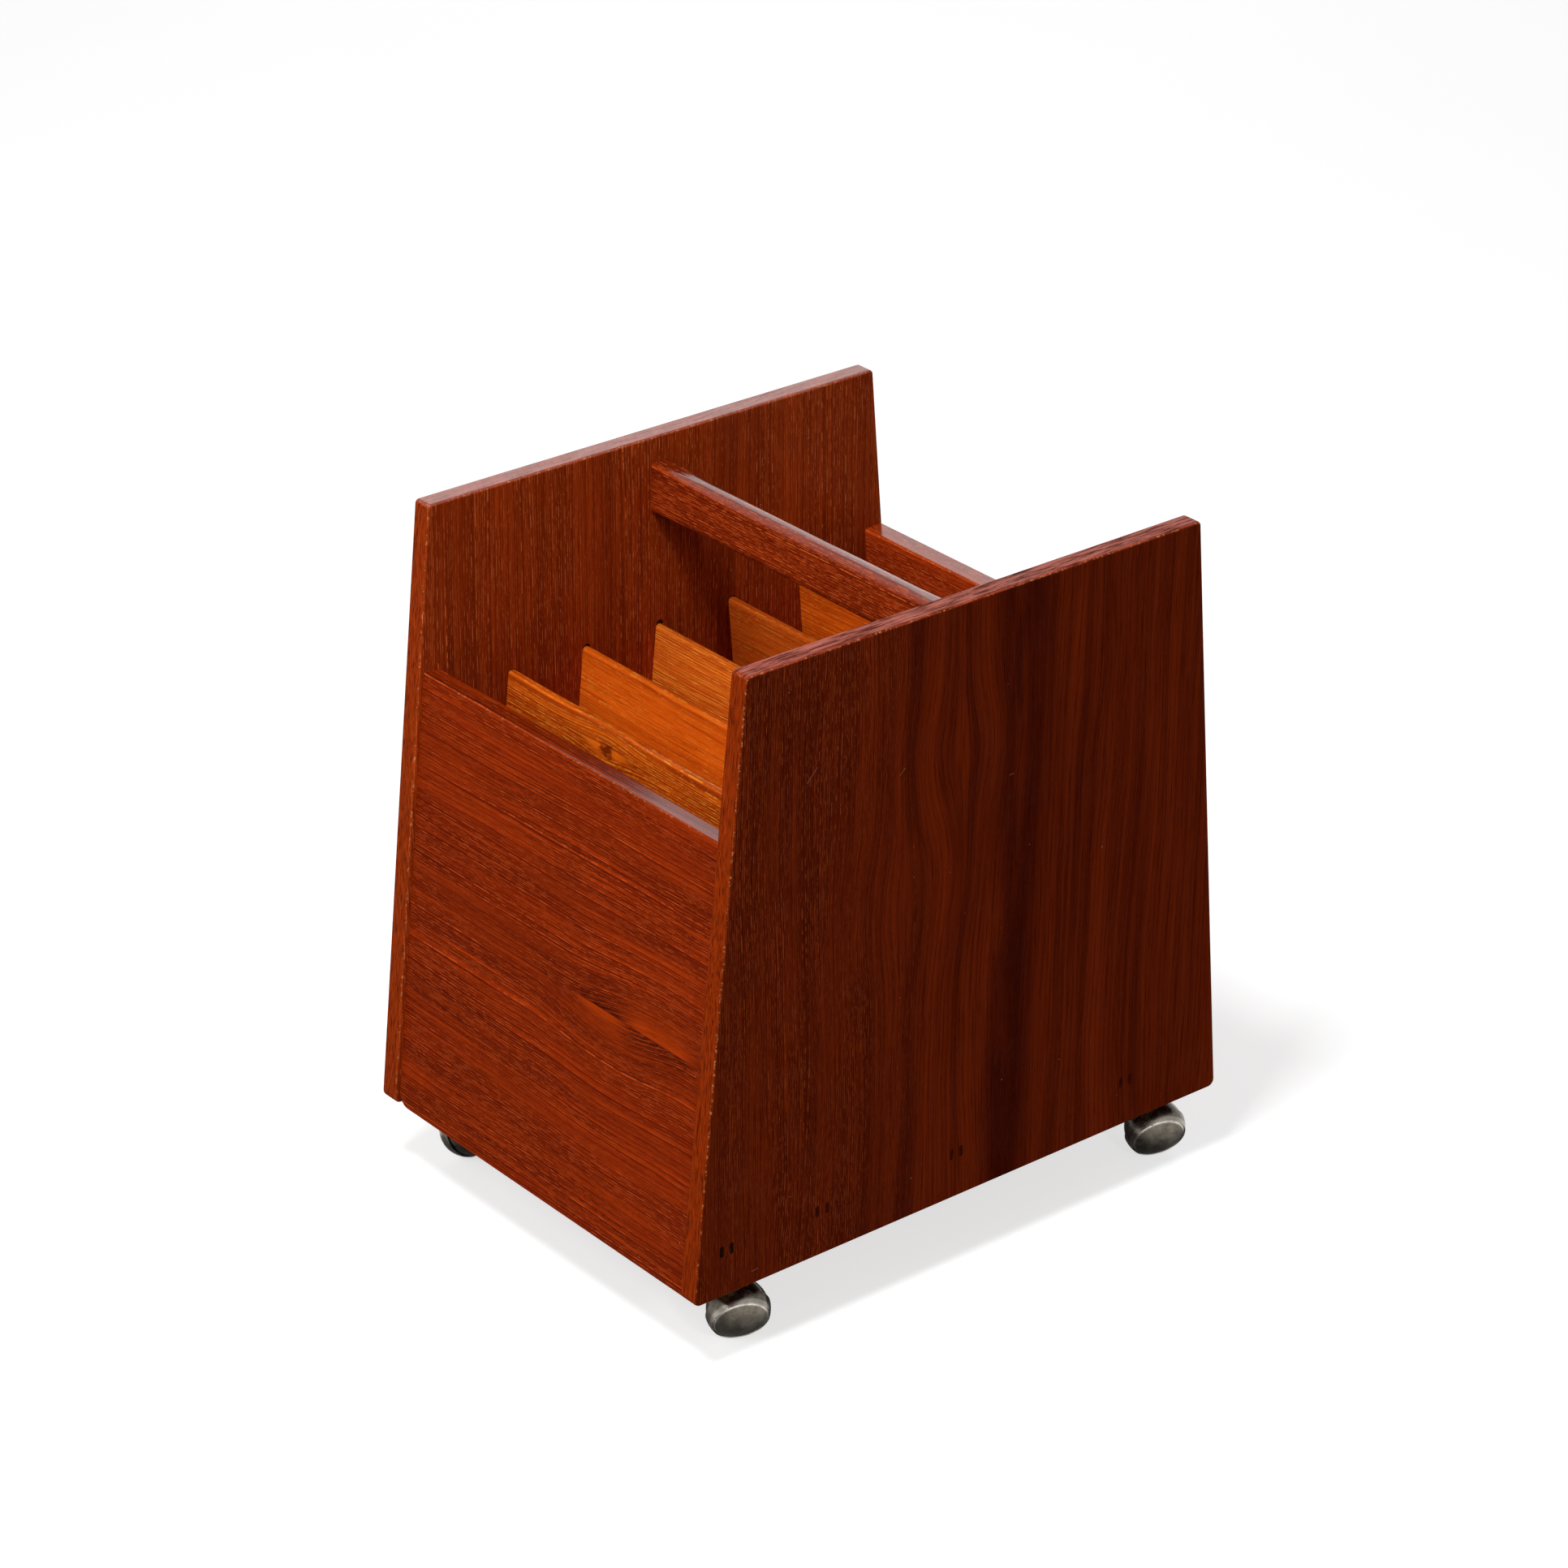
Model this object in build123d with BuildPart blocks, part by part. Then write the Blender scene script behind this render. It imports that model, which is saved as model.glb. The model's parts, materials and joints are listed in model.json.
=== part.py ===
"""Magazine rack on four ball castors: two sloping sides, fanned dividers and a shaped handle.

Millimetres, +Z up, +X to the rack's right, +Y to its back. The origin is on the floor under the middle.
A "height" is measured above the sides' lower edge, and up() turns it into Z.
"""
import os
from math import atan, cos, radians, sin, sqrt

from build123d import *

# Sides: two upright trapezoids that narrow towards the top
body_width = 332.0
side_thickness = 15.0
side_height = 420.0
side_depth_top = 365.0
side_depth_bottom = 442.0
side_top_corner = 3.0
side_bottom_corner = 5.0
side_edge_round = 1.8

# Front and back panels, which lean along the sloping edges of the sides
panel_thickness = 15.0
panel_top_drop = 113.5
front_setback = 3.5
back_setback = 0.5
panel_edge_round = 2.0
panel_worn_corner = 9.0

# Dividers in stopped grooves, numbered from the front, each a little short of its groove's round end
divider_thickness = 6.0
divider_pitch = 60.5
divider_top_gaps = (0.7, 1.7, 2.9, 0.9, 1.2)
divider_edge_round = 2.5
forward_dividers = 3
groove_top_drop = 131.3
groove_depth = 5.0
groove_clearance = 0.15
groove_end_play = 0.3

# Handle bar, square at its ends and rounded over along the grip
handle_thickness = 15.0
handle_height = 35.0
handle_top_drop = 18.0
handle_end_round = 3.0
handle_grip_round = 6.7
handle_end_length = 51.0
handle_taper_share = 0.6
round_limit_share = 0.45

# Bottom board, housed in grooves of the panels, and the two rails under it that hold the castors
rail_width = 23.0
rail_height = 27.0
board_thickness = 12.0
board_groove_depth = 5.0

# Blind dowels in the ends of the panels and the handle
dowel_radius = 4.0
dowel_in_side = 9.0
dowel_in_end = 21.0
dowel_clearance = 0.1
dowel_end_play = 0.5
panel_dowel_shares = (0.23, 0.54, 0.85)
handle_dowel_spacing = 17.0

# Pairs of nails through the sides into the ends of the bottom board, punched in and filled
nail_pair_shares = (0.0095, 0.2, 0.476, 0.84)
nail_pair_spacing = 8.0
nail_radius = 1.0
nail_length = 36.0
nail_clearance = 0.05
filler_width = 3.0
filler_height = 8.0
filler_depth = 3.0

# Screws that hold the rails up against the bottom board
screw_shares = (0.33, 0.66)
screw_head_radius = 4.0
screw_radius = 2.0
screw_bite = 7.0
screw_clearance = 0.1

# Ball castors: the ball is split square to a sloping axle, into a hood behind and a wheel in front
castor_inset = 42.3
castor_trail = 10.8
ball_radius = 21.0
axle_slope = 23.4
split_offset = 0.4
split_gap = 0.6
hood_setback = 1.0
hood_wall = 2.2
neck_radius = 7.2
neck_above_ball = 8.2
neck_play = 0.2
neck_root_drop = 2.0
wheel_wall = 2.6
ridge_past_contact = 1.25
face_step = 0.5
face_rise = 5.0
hub_radius = 5.0
hub_setback = 0.4
axle_radius = 2.0
axle_in_hood = 13.0
axle_in_wheel = 11.6
axle_end_play = 0.3
press_clearance = 0.02
running_clearance = 0.05
stem_radius = 4.0
stem_in_neck = 17.0
stem_groove_depth = 0.7
stem_groove_width = 2.0
stem_groove_from_top = 4.0
socket_wall = 1.5
socket_cover = 3.5
socket_top_play = 1.0
flange_radius = 9.0
flange_thickness = 1.6
end_chamfer = 0.6

# The way each castor trails at rest, in degrees from +X
front_right_trail_angle = 66.0
back_right_trail_angle = 69.3
front_left_trail_angle = 103.0
back_left_trail_angle = 98.0

# Values that follow from the driving dimensions
ground_clearance = 2 * ball_radius + neck_above_ball + neck_play + flange_thickness
slope = (side_depth_bottom - side_depth_top) / 2 / side_height
slope_angle = atan(slope)
outer_x = body_width / 2
inner_x = outer_x - side_thickness
inner_middle = (front_setback - back_setback) / 2
panel_run = panel_thickness / cos(slope_angle)
panel_height = side_height - panel_top_drop
front_foot = -side_depth_bottom / 2 + front_setback
back_foot = side_depth_bottom / 2 - back_setback
groove_width = divider_thickness + 2 * groove_clearance
groove_top = side_height - groove_top_drop
divider_run = divider_thickness / cos(slope_angle)
handle_middle = side_height - handle_top_drop - handle_height / 2
board_low = rail_height
board_high = rail_height + board_thickness
board_middle = rail_height + board_thickness / 2
rail_middle_x = inner_x - rail_width / 2
castor_place_y = side_depth_bottom / 2 - castor_inset

os.makedirs("parts", exist_ok=True)


def up(height):
    """Z of a height above the sides' lower edge."""
    return ground_clearance + height


def edge_y(height):
    """Distance of the sides' sloping edges from the middle of the rack."""
    return side_depth_bottom / 2 - slope * height


def panel_inner(foot, way, height):
    """Y of a leaning panel's inner face."""
    return foot + way * (slope * height + panel_run)


def along_board(share, height):
    """Y at a share of the way from the front panel to the back panel."""
    front = panel_inner(front_foot, 1, height)
    back = panel_inner(back_foot, -1, height)
    return front + share * (back - front)


def lean_corners(foot, way, thickness, low, high):
    """Corners, as (Y, Z), of a board with the sides' slope, level below and square above.

    Its outer face would meet the sides' lower edge at foot. It leans towards +Y where way is 1.
    """
    low_outer = foot + way * slope * low
    high_outer = foot + way * slope * high
    return [
        (low_outer, up(low)),
        (low_outer + way * thickness / cos(slope_angle), up(low)),
        (high_outer + way * thickness * cos(slope_angle), up(high - thickness * sin(slope_angle))),
        (high_outer, up(high)),
    ]


def level_corners(low, high, reach=0):
    """Corners, as (Y, Z), of a level board cut to the panels' slope, with its edges reaching into them."""
    return [
        (panel_inner(front_foot, 1, low) - reach, up(low)),
        (panel_inner(back_foot, -1, low) + reach, up(low)),
        (panel_inner(back_foot, -1, high) + reach, up(high)),
        (panel_inner(front_foot, 1, high) - reach, up(high)),
    ]


def divider_way(number):
    """1 for a divider that leans like the front panel, -1 for one that leans like the back panel."""
    return 1 if number < forward_dividers else -1


def divider_foot(number):
    """Y where a divider's outer face would meet the sides' lower edge."""
    way = divider_way(number)
    middle_number = (len(divider_top_gaps) - 1) / 2
    middle = inner_middle + (number - middle_number) * divider_pitch
    return middle - way * (divider_run / 2 + slope * groove_top)


def panel_dowel_points(foot, way):
    """Places, as (Y, Z), of the dowels along the middle of a leaning panel's end."""
    heights = [share * panel_height for share in panel_dowel_shares]
    return [(foot + way * (slope * height + panel_run / 2), up(height)) for height in heights]


front_dowel_points = panel_dowel_points(front_foot, 1)
back_dowel_points = panel_dowel_points(back_foot, -1)
handle_dowel_points = [
    (inner_middle, up(handle_middle - handle_dowel_spacing / 2)),
    (inner_middle, up(handle_middle + handle_dowel_spacing / 2)),
]
nail_points = [
    (along_board(share, board_middle) + step * nail_pair_spacing / 2, up(board_middle))
    for share in nail_pair_shares
    for step in (-1, 1)
]
screw_points = [
    (side * rail_middle_x, along_board(share, board_low)) for side in (-1, 1) for share in screw_shares
]


def save(builder, label):
    """Names a finished piece and writes it."""
    builder.part.label = label
    export_step(builder.part, f"parts/{label}.step")


def side_panel(side, label):
    """One side, with eased edges, stopped grooves, dowel holes and nail pockets."""
    inner_plane = Plane.YZ.offset(side * inner_x)
    outer_plane = Plane.YZ.offset(side * outer_x)
    with BuildPart() as panel:
        with BuildSketch(inner_plane):
            with BuildLine():
                Polyline(
                    (-edge_y(0), up(0)),
                    (edge_y(0), up(0)),
                    (edge_y(side_height), up(side_height)),
                    (-edge_y(side_height), up(side_height)),
                    close=True,
                )
            make_face()
            fillet(vertices().sort_by(Axis.Y)[:2], side_bottom_corner)
            fillet(vertices().sort_by(Axis.Y)[-2:], side_top_corner)
        extrude(amount=side * side_thickness)
        fillet(faces().filter_by(Axis.X).edges(), side_edge_round)
        with BuildSketch(inner_plane):
            for number in range(len(divider_top_gaps)):
                way = divider_way(number)
                middle_foot = divider_foot(number) + way * divider_run / 2
                end_height = groove_top - groove_width / 2
                SlotCenterPoint(
                    (middle_foot, up(0)),
                    (middle_foot + way * slope * end_height, up(end_height)),
                    groove_width,
                )
        extrude(amount=side * groove_depth, mode=Mode.SUBTRACT)
        with BuildSketch(inner_plane):
            with Locations(*front_dowel_points, *back_dowel_points, *handle_dowel_points):
                Circle(dowel_radius + dowel_clearance)
        extrude(amount=side * dowel_in_side, mode=Mode.SUBTRACT)
        with BuildSketch(outer_plane):
            with Locations(*nail_points):
                SlotOverall(filler_height, filler_width, rotation=90)
        extrude(amount=-side * filler_depth, mode=Mode.SUBTRACT)
        with BuildSketch(outer_plane):
            with Locations(*nail_points):
                Circle(nail_radius + nail_clearance)
        extrude(amount=-side * side_thickness, mode=Mode.SUBTRACT)
    save(panel, label)


def leaning_panel(foot, way, dowel_points, worn_corner, label):
    """The front or back panel, with eased top arrises, dowel holes and a groove for the bottom board.

    worn_corner is the radius of its lower left corner, or 0 for a sharp one.
    """
    groove_outline = [
        (panel_inner(foot, way, board_low) - way * board_groove_depth, up(board_low)),
        (panel_inner(foot, way, board_low) + way * board_groove_depth, up(board_low)),
        (panel_inner(foot, way, board_high) + way * board_groove_depth, up(board_high)),
        (panel_inner(foot, way, board_high) - way * board_groove_depth, up(board_high)),
    ]
    with BuildPart() as panel:
        with BuildSketch(Plane.YZ):
            with BuildLine():
                Polyline(*lean_corners(foot, way, panel_thickness, 0, panel_height), close=True)
            make_face()
            fillet(vertices().sort_by(Axis.Y)[-2:], panel_edge_round)
        extrude(amount=inner_x, both=True)
        for side in (-1, 1):
            with BuildSketch(Plane.YZ.offset(side * inner_x)):
                with Locations(*dowel_points):
                    Circle(dowel_radius + dowel_clearance)
            extrude(amount=-side * dowel_in_end, mode=Mode.SUBTRACT)
        with BuildSketch(Plane.YZ):
            with BuildLine():
                Polyline(*groove_outline, close=True)
            make_face()
        extrude(amount=inner_x, both=True, mode=Mode.SUBTRACT)
        if worn_corner > 0:
            fillet(edges().filter_by(Axis.Y).group_by(Axis.Z)[0].sort_by(Axis.X)[0], worn_corner)
    save(panel, label)


def dowel_set(points, label):
    """The dowels at both ends of one piece, each chamfered at its tips."""
    with BuildPart() as dowels:
        for side in (-1, 1):
            with BuildSketch(Plane.YZ.offset(side * (inner_x + dowel_in_side - dowel_end_play))):
                with Locations(*points):
                    Circle(dowel_radius)
            extrude(amount=-side * (dowel_in_side + dowel_in_end - 2 * dowel_end_play))
        chamfer(edges().filter_by(GeomType.CIRCLE), end_chamfer)
    save(dowels, label)


def divider(number, label):
    """One divider, standing on the bottom board with its ends in the grooves."""
    top = groove_top - divider_top_gaps[number]
    edge_round = min(divider_edge_round, round_limit_share * divider_thickness)
    corners = lean_corners(divider_foot(number), divider_way(number), divider_thickness, board_high, top)
    with BuildPart() as board:
        with BuildSketch(Plane.YZ):
            with BuildLine():
                Polyline(*corners, close=True)
            make_face()
            fillet(vertices().sort_by(Axis.Y)[-2:], edge_round)
        extrude(amount=inner_x + groove_depth - groove_end_play, both=True)
    save(board, label)


def rail(side, label):
    """The batten along one side, bored for the castor sockets and the screws."""
    with BuildPart() as batten:
        with BuildSketch(Plane.YZ.offset(side * inner_x)):
            with BuildLine():
                Polyline(*level_corners(0, rail_height), close=True)
            make_face()
        extrude(amount=-side * rail_width)
        low_plane = Plane.XY.offset(up(0))
        with BuildSketch(low_plane):
            with Locations(*[(side * rail_middle_x, end * castor_place_y) for end in (-1, 1)]):
                Circle(stem_radius + running_clearance + socket_wall + running_clearance)
        extrude(amount=rail_height - socket_cover + press_clearance, mode=Mode.SUBTRACT)
        with Locations(*[(x, y, up(0)) for x, y in screw_points if x * side > 0]):
            with Locations(Location((0, 0, 0), (180, 0, 0))):
                CounterSinkHole(screw_radius + screw_clearance, screw_head_radius + screw_clearance)
    save(batten, label)


def castor(name, trail_angle):
    """One ball castor: the socket in the rail, and the stem, hood, axle and wheel that swivel in it."""
    side = 1 if name.endswith("right") else -1
    end = 1 if name.startswith("back") else -1
    trail = Vector(cos(radians(trail_angle)), sin(radians(trail_angle)), 0)
    across = Vector(trail.Y, -trail.X, 0) * side
    axle_way = across * cos(radians(axle_slope)) + Vector(0, 0, -sin(radians(axle_slope)))
    stem_place = Vector(side * rail_middle_x, end * castor_place_y, 0)
    centre = stem_place + trail * castor_trail + Vector(0, 0, ball_radius)
    axle_axis = Axis(centre, axle_way)
    stem_axis = Axis(stem_place, (0, 0, 1))
    axle_plane = Plane(origin=centre, x_dir=trail, z_dir=axle_way)
    ball_profile = Plane(origin=centre, x_dir=axle_way, z_dir=trail)
    stem_profile = Plane(origin=stem_place, x_dir=(1, 0, 0), z_dir=(0, -1, 0))
    neck_top = ground_clearance - flange_thickness - neck_play
    stem_top = up(rail_height - socket_cover - socket_wall - socket_top_play)
    socket_top = up(rail_height - socket_cover)
    bore = stem_radius + running_clearance
    sleeve = bore + socket_wall

    with BuildPart() as socket:
        with BuildSketch(stem_profile):
            with BuildLine():
                Polyline(
                    (bore, up(0) - flange_thickness),
                    (flange_radius - end_chamfer, up(0) - flange_thickness),
                    (flange_radius, up(0) - flange_thickness + end_chamfer),
                    (flange_radius, up(0)),
                    (sleeve, up(0)),
                    (sleeve, socket_top),
                    (0, socket_top),
                    (0, socket_top - socket_wall),
                    (bore, socket_top - socket_wall),
                    close=True,
                )
            make_face()
        revolve(axis=stem_axis)
    save(socket, f"{name}_castor_socket")

    groove_high = stem_top - stem_groove_from_top
    groove_low = groove_high - stem_groove_width
    groove_radius = stem_radius - stem_groove_depth
    with BuildPart() as stem:
        with BuildSketch(stem_profile):
            with BuildLine():
                Polyline(
                    (0, neck_top - stem_in_neck),
                    (stem_radius, neck_top - stem_in_neck),
                    (stem_radius, groove_low),
                    (groove_radius, groove_low),
                    (groove_radius, groove_high),
                    (stem_radius, groove_high),
                    (stem_radius, stem_top - end_chamfer),
                    (stem_radius - end_chamfer, stem_top),
                    (0, stem_top),
                    close=True,
                )
            make_face()
        revolve(axis=stem_axis)
    save(stem, f"{name}_castor_stem")

    hood_edge = split_offset - split_gap / 2
    wheel_edge = split_offset + split_gap / 2
    hood_radius = ball_radius - hood_setback
    hood_inside = hood_radius - hood_wall
    hood_rim = ball_reach(hood_radius, hood_edge)
    with BuildPart() as hood:
        with BuildSketch(Plane.XY.offset(ball_radius - neck_root_drop)):
            with Locations((stem_place.X, stem_place.Y)):
                Circle(neck_radius)
        extrude(amount=neck_top - ball_radius + neck_root_drop)
        with BuildSketch(axle_plane.offset(-hood_inside)):
            Circle(hub_radius)
        extrude(amount=hood_inside + hood_edge - hub_setback)
        split(bisect_by=axle_plane.offset(hood_edge), keep=Keep.BOTTOM)
        with BuildSketch(ball_profile):
            with BuildLine():
                ball_arc(hood_radius, -hood_radius, hood_edge)
                Line((hood_edge, hood_rim), (hood_edge, ball_reach(hood_inside, hood_edge)))
                ball_arc(hood_inside, hood_edge, -hood_inside)
                Line((-hood_inside, 0), (-hood_radius, 0))
            make_face()
        revolve(axis=axle_axis)
        with BuildSketch(axle_plane.offset(-axle_in_hood)):
            Circle(axle_radius + press_clearance)
        extrude(amount=axle_in_hood + ball_radius, mode=Mode.SUBTRACT)
        with BuildSketch(Plane.XY.offset(neck_top - stem_in_neck)):
            with Locations((stem_place.X, stem_place.Y)):
                Circle(stem_radius + press_clearance)
        extrude(amount=stem_in_neck, mode=Mode.SUBTRACT)
    save(hood, f"{name}_castor_hood")

    with BuildPart() as axle:
        with BuildSketch(axle_plane.offset(-axle_in_hood)):
            Circle(axle_radius)
        extrude(amount=axle_in_hood + axle_in_wheel)
        chamfer(edges().filter_by(GeomType.CIRCLE), end_chamfer)
    save(axle, f"{name}_castor_axle")

    wheel_inside = ball_radius - wheel_wall
    ridge = ball_radius * sin(radians(axle_slope)) + ridge_past_contact
    ridge_radius = ball_reach(ball_radius, ridge)
    wheel_rim = ball_reach(ball_radius, wheel_edge)
    face_edge = (ridge - face_step, ridge_radius - face_step)
    face_back = ridge - face_step - wheel_wall
    axle_bore = axle_radius + running_clearance
    bore_end = axle_in_wheel + axle_end_play
    face_tip = (ridge + face_rise, 0)
    dome_rise = face_rise + face_step
    dome_radius = (dome_rise**2 + face_edge[1] ** 2) / (2 * dome_rise)
    half_reach = face_edge[1] / 2
    face_middle = (face_tip[0] - dome_radius + ball_reach(dome_radius, half_reach), half_reach)
    with BuildPart() as wheel:
        with BuildSketch(ball_profile):
            with BuildLine():
                ball_arc(ball_radius, wheel_edge, ridge)
                Line((ridge, ridge_radius), face_edge)
                ThreePointArc(face_edge, face_middle, face_tip)
                Polyline(
                    face_tip,
                    (bore_end, 0),
                    (bore_end, axle_bore),
                    (wheel_edge + hub_setback, axle_bore),
                    (wheel_edge + hub_setback, hub_radius),
                    (face_back, hub_radius),
                    (face_back, ball_reach(wheel_inside, face_back)),
                )
                ball_arc(wheel_inside, face_back, wheel_edge)
                Line((wheel_edge, ball_reach(wheel_inside, wheel_edge)), (wheel_edge, wheel_rim))
            make_face()
        revolve(axis=axle_axis)
    save(wheel, f"{name}_castor_wheel")


def ball_reach(radius, along):
    """Distance from the axle of a ball's surface, at a place along the axle from the ball's centre."""
    return sqrt(max(radius * radius - along * along, 0))


def ball_arc(radius, start, end):
    """Part of a ball's outline, between two places along the axle."""
    middle = (start + end) / 2
    ThreePointArc(
        (start, ball_reach(radius, start)),
        (middle, ball_reach(radius, middle)),
        (end, ball_reach(radius, end)),
    )


for side, hand in ((-1, "left"), (1, "right")):
    side_panel(side, f"side_panel_{hand}")
    rail(side, f"castor_rail_{hand}")

leaning_panel(front_foot, 1, front_dowel_points, panel_worn_corner, "front_panel")
leaning_panel(back_foot, -1, back_dowel_points, 0, "back_panel")
dowel_set(front_dowel_points, "front_panel_dowels")
dowel_set(back_dowel_points, "back_panel_dowels")
dowel_set(handle_dowel_points, "handle_dowels")

for number in range(len(divider_top_gaps)):
    divider(number, f"divider_{number + 1}")

# Handle: square sections at the ends, growing rounder towards the grip
grip_half = inner_x - handle_end_length
taper_middle = inner_x - handle_end_length * handle_taper_share
grip_round = min(handle_grip_round, round_limit_share * handle_thickness)
taper_round = handle_end_round + (grip_round - handle_end_round) * handle_taper_share
handle_sections = (
    (-inner_x, handle_end_round),
    (-taper_middle, taper_round),
    (-grip_half, grip_round),
    (grip_half, grip_round),
    (taper_middle, taper_round),
    (inner_x, handle_end_round),
)
with BuildPart() as handle:
    for place, corner in handle_sections:
        with BuildSketch(Plane.YZ.offset(place)):
            with Locations((inner_middle, up(handle_middle))):
                RectangleRounded(handle_thickness, handle_height, corner)
    loft(ruled=True)
    for side in (-1, 1):
        with BuildSketch(Plane.YZ.offset(side * inner_x)):
            with Locations(*handle_dowel_points):
                Circle(dowel_radius + dowel_clearance)
        extrude(amount=-side * dowel_in_end, mode=Mode.SUBTRACT)
save(handle, "handle")

# Bottom board: its ends meet the sides, its long edges reach into the grooves of the panels
board_reach = board_groove_depth - groove_end_play
with BuildPart() as bottom_board:
    with BuildSketch(Plane.YZ):
        with BuildLine():
            Polyline(*level_corners(board_low, board_high, board_reach), close=True)
        make_face()
    extrude(amount=inner_x, both=True)
    for side in (-1, 1):
        with BuildSketch(Plane.YZ.offset(side * inner_x)):
            with Locations(*nail_points):
                Circle(nail_radius + nail_clearance)
        extrude(amount=-side * (nail_length + filler_depth - side_thickness), mode=Mode.SUBTRACT)
    with BuildSketch(Plane.XY.offset(up(board_low))):
        with Locations(*screw_points):
            Circle(screw_radius + screw_clearance)
    extrude(amount=screw_bite + screw_clearance, mode=Mode.SUBTRACT)
save(bottom_board, "bottom_board")

# Nails, and the filler over their heads
with BuildPart() as bottom_nails:
    for side in (-1, 1):
        with BuildSketch(Plane.YZ.offset(side * (outer_x - filler_depth))):
            with Locations(*nail_points):
                Circle(nail_radius)
        extrude(amount=-side * nail_length)
save(bottom_nails, "bottom_nails")

with BuildPart() as nail_fillers:
    for side in (-1, 1):
        with BuildSketch(Plane.YZ.offset(side * outer_x)):
            with Locations(*nail_points):
                SlotOverall(filler_height, filler_width, rotation=90)
        extrude(amount=-side * filler_depth)
save(nail_fillers, "nail_fillers")

# Countersunk screws, heads flush with the underside of the rails
with BuildPart() as rail_screws:
    for x, y in screw_points:
        with BuildSketch(Plane(origin=(x, y, 0), x_dir=(1, 0, 0), z_dir=(0, -1, 0))):
            with BuildLine():
                Polyline(
                    (0, up(0)),
                    (screw_head_radius, up(0)),
                    (screw_radius, up(screw_head_radius - screw_radius)),
                    (screw_radius, up(board_low + screw_bite - screw_radius)),
                    (0, up(board_low + screw_bite)),
                    close=True,
                )
            make_face()
        revolve(axis=Axis((x, y, 0), (0, 0, 1)))
save(rail_screws, "rail_screws")

castor("front_right", front_right_trail_angle)
castor("back_right", back_right_trail_angle)
castor("front_left", front_left_trail_angle)
castor("back_left", back_left_trail_angle)
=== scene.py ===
# %% [markdown]
# A teak magazine rack on four ball castors. The joinery, the castors and every size come from the
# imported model, which is loaded here as a fixed frame. Blender adds what the model can't hold: the figure
# of the wood, its lacquer and wear, the cast metal, a studio and the camera.

# %% Load the frame
import json
import math
from types import SimpleNamespace

import bpy
from mathutils import Matrix, Vector

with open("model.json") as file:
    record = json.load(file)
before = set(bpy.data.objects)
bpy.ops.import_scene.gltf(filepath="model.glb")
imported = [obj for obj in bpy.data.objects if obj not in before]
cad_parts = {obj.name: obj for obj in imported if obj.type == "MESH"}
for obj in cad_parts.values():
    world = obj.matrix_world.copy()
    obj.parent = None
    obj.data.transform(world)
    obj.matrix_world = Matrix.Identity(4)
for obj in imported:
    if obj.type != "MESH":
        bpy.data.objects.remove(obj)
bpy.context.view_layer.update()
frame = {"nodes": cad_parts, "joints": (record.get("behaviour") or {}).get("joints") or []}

# %% [markdown]
# Shader maths reads best as plain sums. This small class wraps one socket of a node tree, so that
# `1 - mask * 0.5` adds the Math nodes by itself. Its method `node` adds any other kind of node: the
# settings are set first, and then each socket gets a number or a link.

# %% A socket that can do sums
class Shade:
    """A value in a material's node tree."""

    def __init__(self, tree, socket=None):
        self.tree = tree
        self.socket = socket

    def node(self, kind, settings=None, sockets=None, out=0):
        made = self.tree.nodes.new(kind)
        for key, value in (settings or {}).items():
            setattr(made, key, value)
        for key, value in (sockets or {}).items():
            if isinstance(value, Shade):
                self.tree.links.new(value.socket, made.inputs[key])
            else:
                made.inputs[key].default_value = value
        return Shade(self.tree, made.outputs[out] if made.outputs else None)

    def math(self, operation, *values):
        sockets = {index: value for index, value in enumerate((self, *values))}
        return self.node("ShaderNodeMath", {"operation": operation}, sockets)

    def __add__(self, other):
        return self.math("ADD", other)

    def __sub__(self, other):
        return self.math("SUBTRACT", other)

    def __rsub__(self, other):
        return self.node("ShaderNodeMath", {"operation": "SUBTRACT"}, {0: other, 1: self})

    def __mul__(self, other):
        return self.math("MULTIPLY", other)

    def __truediv__(self, other):
        return self.math("DIVIDE", other)

    __radd__ = __add__
    __rmul__ = __mul__

    def fract(self):
        return self.math("FRACT")

    def abs(self):
        return self.math("ABSOLUTE")

    def largest(self, other):
        return self.math("MAXIMUM", other)

    def hypot(self, other):
        return (self * self + other * other).math("SQRT")

    def between(self, low, high):
        """0 below low, 1 above high, and an eased slope between."""
        return self.node("ShaderNodeMapRange", {"interpolation_type": "SMOOTHSTEP"},
                         {"Value": self, "From Min": low, "From Max": high})

    def tint(self, colour, other):
        """From colour, where this value is 0, to other, where it is 1."""
        colour, other = (c if isinstance(c, Shade) else (*c, 1.0) for c in (colour, other))
        return self.node("ShaderNodeMix", {"data_type": "RGBA"}, {0: self, 6: colour, 7: other}, 2)

    def shaded(self, colour, other):
        """Like tint, but multiplies colour by other where this value is 1."""
        return self.node("ShaderNodeMix", {"data_type": "RGBA", "blend_type": "MULTIPLY"},
                         {0: self, 6: colour, 7: (*other, 1.0)}, 2)

    def joined(self, x, y, z):
        """One vector from three values."""
        return self.node("ShaderNodeCombineXYZ", None, {0: x, 1: y, 2: z})

    def parts(self, vector):
        """The three values of a vector."""
        return [self.node("ShaderNodeSeparateXYZ", None, {0: vector}, axis) for axis in "XYZ"]

    def noise(self, x, y, z, detail=2.0, rough=0.55):
        return self.node("ShaderNodeTexNoise", {"noise_dimensions": "3D"},
                         {"Vector": self.joined(x, y, z), "Scale": 1.0, "Detail": detail, "Roughness": rough})

    def cloud(self, xyz, size, detail=2.0, rough=0.55):
        """Noise that is as fine in every direction."""
        return self.noise(*(value * size for value in xyz), detail, rough)


def start_material(name):
    """A new material without any nodes, and the place of each point on the piece."""
    material = bpy.data.materials.new(name)
    material.use_nodes = True
    material.node_tree.nodes.clear()
    tools = Shade(material.node_tree)
    return material, tools, tools.parts(tools.node("ShaderNodeTexCoord", None, None, "Object"))


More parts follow.
